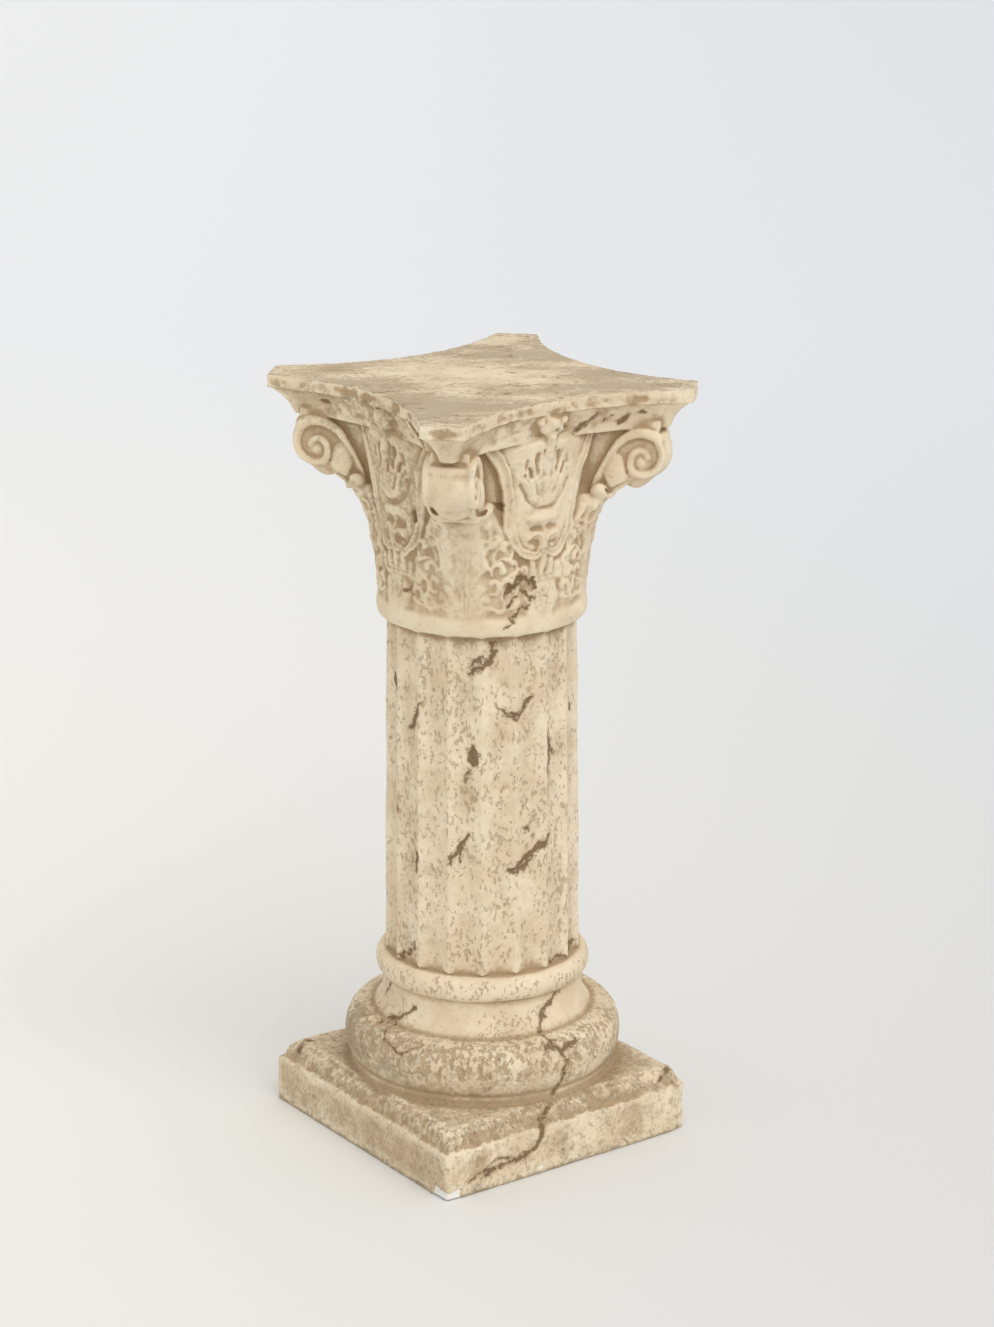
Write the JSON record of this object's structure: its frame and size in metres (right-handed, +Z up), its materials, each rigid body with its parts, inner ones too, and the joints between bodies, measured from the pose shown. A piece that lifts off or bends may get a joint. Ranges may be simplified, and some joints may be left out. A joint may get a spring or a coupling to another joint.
{
  "type": "corinthian column pedestal",
  "caption": "Short free-standing column with square plinth, torus base, fluted shaft, leaf and volute capital, and a flat hollow-sided top.",
  "frame": {"origin": "middle of the underside of the plinth", "axes": "+Z up along the shaft; -Y and -X are the two faces that the picture shows; the top and plinth are square to X and Y"},
  "size_m": [0.3224, 0.3224, 0.762],
  "materials": {
    "cast_stone": "matt cream cast stone with brown pits, veins and a dark wash in the hollows"
  },
  "bodies": {
    "root": {"column": "cast_stone"}
  },
  "joints": []
}
